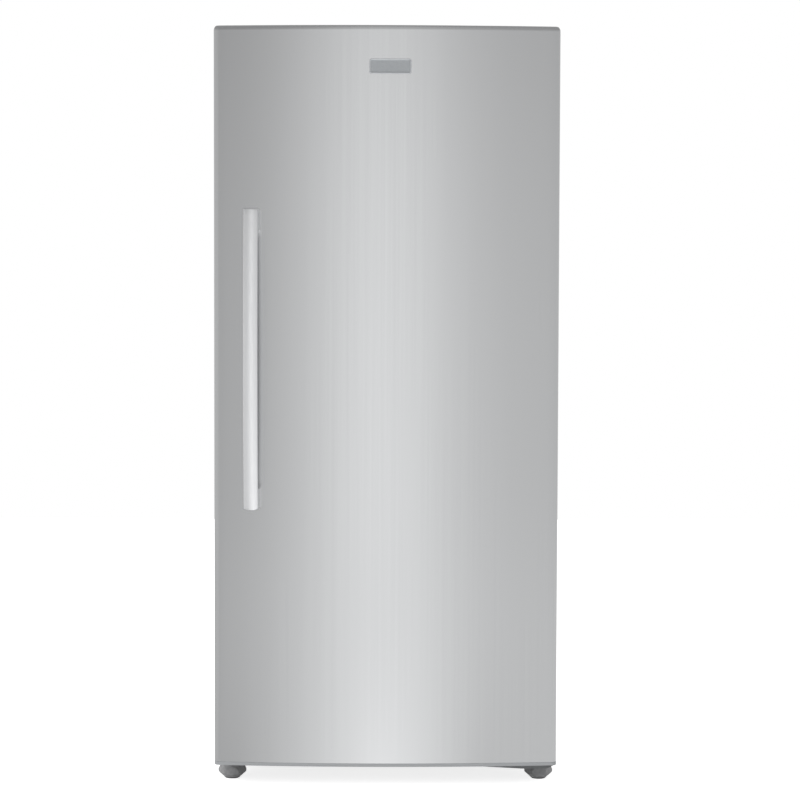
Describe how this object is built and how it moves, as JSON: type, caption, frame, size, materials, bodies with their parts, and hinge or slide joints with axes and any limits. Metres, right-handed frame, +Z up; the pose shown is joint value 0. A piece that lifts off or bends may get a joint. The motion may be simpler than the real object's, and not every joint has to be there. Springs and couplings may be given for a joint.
{
  "type": "single door refrigerator",
  "caption": "Full-height upright refrigerator with one bowed brushed-metal door hinged on the right, an arched bar handle, drawers, glass shelves, door bins and levelling feet.",
  "frame": {"origin": "on the floor, under the middle of the whole refrigerator, handle included", "axes": "+Z up, the door faces -Y, +X to the right of someone who faces the door"},
  "size_m": [0.838, 0.726, 1.855],
  "materials": {
    "cabinet_paint": "fine textured satin paint",
    "back_steel": "galvanised sheet, dull",
    "insulation": "matt foam",
    "liner_white": "smooth moulded",
    "base_steel": "black satin paint",
    "cover_grey": "moulded, fine grain",
    "machine_black": "black enamel",
    "rubber_dark": "matt",
    "motor_steel": "zinc plated",
    "fan_grey": "moulded",
    "copper": "drawn tube",
    "coil_aluminium": "fins on tube",
    "trim_white": "moulded, satin",
    "hinge_steel": "painted plate",
    "pin_steel": "turned",
    "shelf_glass": "toughened, clear",
    "clear_plastic": "clear moulded",
    "lamp_white": "frosted",
    "control_grey": "moulded",
    "foot_grey": "moulded, matt",
    "roller_plastic": "moulded",
    "stainless_skin": "brushed along its height, satin",
    "cap_dark": "moulded, matt",
    "cap_grey": "moulded, matt",
    "seal_grey": "soft vinyl",
    "handle_metal": "satin",
    "badge_grey": "plain satin plate"
  },
  "bodies": {
    "cabinet": {"side_panel_left": "cabinet_paint", "side_panel_right": "cabinet_paint", "top_panel": "cabinet_paint", "back_panel": "back_steel", "cabinet_foam": "insulation", "cabinet_liner": "liner_white", "base_frame": "base_steel", "machine_cover": "back_steel", "compressor": "machine_black", "compressor_mounts": "rubber_dark", "start_relay_cover": "fan_grey", "condenser": "machine_black", "condenser_fan_motor": "motor_steel", "drain_pan": "cover_grey", "filter_drier": "copper", "refrigerant_lines": "copper", "power_inlet": "rubber_dark", "evaporator": "coil_aluminium", "evaporator_cover": "trim_white", "evaporator_fan_motor": "motor_steel", "top_hinge_bracket": "hinge_steel", "top_hinge_cover": "cover_grey", "bottom_hinge_bracket": "base_steel", "hinge_pins": "pin_steel", "hinge_screws": "pin_steel", "shelf_frames": "trim_white", "shelf_glass_1": "shelf_glass", "shelf_glass_2": "shelf_glass", "shelf_glass_3": "shelf_glass", "crisper_cover": "trim_white", "control_housing": "trim_white", "lamp_lens": "lamp_white", "switch_housing": "trim_white", "roller_axles": "pin_steel"},
    "door": {"door_skin": "stainless_skin", "door_liner": "liner_white", "door_foam": "insulation", "door_cap_top": "cap_grey", "door_cap_bottom": "cap_dark", "door_gasket": "seal_grey", "handle": "handle_metal", "handle_studs": "pin_steel", "badge": "badge_grey", "door_bins": "clear_plastic", "dairy_bin": "clear_plastic", "hinge_bushes": "trim_white"},
    "dairy_lid": {"dairy_lid": "clear_plastic"},
    "crisper_left": {"crisper_left": "clear_plastic"},
    "crisper_right": {"crisper_right": "clear_plastic"},
    "humidity_slider_left": {"humidity_slider_left": "control_grey"},
    "humidity_slider_right": {"humidity_slider_right": "control_grey"},
    "temperature_dial": {"temperature_dial": "control_grey"},
    "light_switch_plunger": {"light_switch_plunger": "trim_white"},
    "front_foot_left": {"front_foot_left": "foot_grey"},
    "front_foot_right": {"front_foot_right": "foot_grey"},
    "rear_roller_left": {"rear_roller_left": "roller_plastic"},
    "rear_roller_right": {"rear_roller_right": "roller_plastic"},
    "condenser_fan_blade": {"condenser_fan_blade": "fan_grey"},
    "evaporator_fan_blade": {"evaporator_fan_blade": "fan_grey"}
  },
  "joints": [
    {"name": "door_swing", "type": "hinge", "parent": "cabinet", "child": "door", "pos_m": [0.403, -0.267, 0], "axis": [0, 0, 1], "range_deg": [0, 120]},
    {"name": "dairy_lid_flip", "type": "hinge", "parent": "door", "child": "dairy_lid", "pos_m": [0, -0.213, 1.475], "axis": [1, 0, 0], "range_deg": [0, 85]},
    {"name": "crisper_left_slide", "type": "slide", "parent": "cabinet", "child": "crisper_left", "axis": [0, -1, 0], "range_m": [0, 0.252]},
    {"name": "crisper_right_slide", "type": "slide", "parent": "cabinet", "child": "crisper_right", "axis": [0, -1, 0], "range_m": [0, 0.252]},
    {"name": "humidity_left_slide", "type": "slide", "parent": "cabinet", "child": "humidity_slider_left", "axis": [1, 0, 0], "range_m": [0, 0.04]},
    {"name": "humidity_right_slide", "type": "slide", "parent": "cabinet", "child": "humidity_slider_right", "axis": [1, 0, 0], "range_m": [0, 0.04]},
    {"name": "temperature_dial_turn", "type": "hinge", "parent": "cabinet", "child": "temperature_dial", "pos_m": [0.095, -0.175, 1.7395], "axis": [0, -1, 0], "range_deg": [0, 270]},
    {"name": "light_switch_press", "type": "slide", "parent": "cabinet", "child": "light_switch_plunger", "axis": [0, -1, 0], "range_m": [0, 0.006]},
    {"name": "foot_left_level", "type": "slide", "parent": "cabinet", "child": "front_foot_left", "axis": [0, 0, -1], "range_m": [0, 0.015]},
    {"name": "foot_right_level", "type": "slide", "parent": "cabinet", "child": "front_foot_right", "axis": [0, 0, -1], "range_m": [0, 0.015]},
    {"name": "roller_left_spin", "type": "hinge", "parent": "cabinet", "child": "rear_roller_left", "pos_m": [-0.372, 0.303, 0.023], "axis": [1, 0, 0], "continuous": true},
    {"name": "roller_right_spin", "type": "hinge", "parent": "cabinet", "child": "rear_roller_right", "pos_m": [0.372, 0.303, 0.023], "axis": [1, 0, 0], "continuous": true},
    {"name": "condenser_fan_spin", "type": "hinge", "parent": "cabinet", "child": "condenser_fan_blade", "pos_m": [0.01, 0.245, 0.18], "axis": [1, 0, 0], "continuous": true},
    {"name": "evaporator_fan_spin", "type": "hinge", "parent": "cabinet", "child": "evaporator_fan_blade", "pos_m": [0, 0.273, 1.555], "axis": [0, 1, 0], "continuous": true}
  ],
  "couplings": [
    {"joint": "crisper_left_slide", "follows": "door_swing", "m_per_rad": 0.12},
    {"joint": "crisper_right_slide", "follows": "door_swing", "m_per_rad": 0.12},
    {"joint": "light_switch_press", "follows": "door_swing", "m_per_rad": 0.00286}
  ]
}
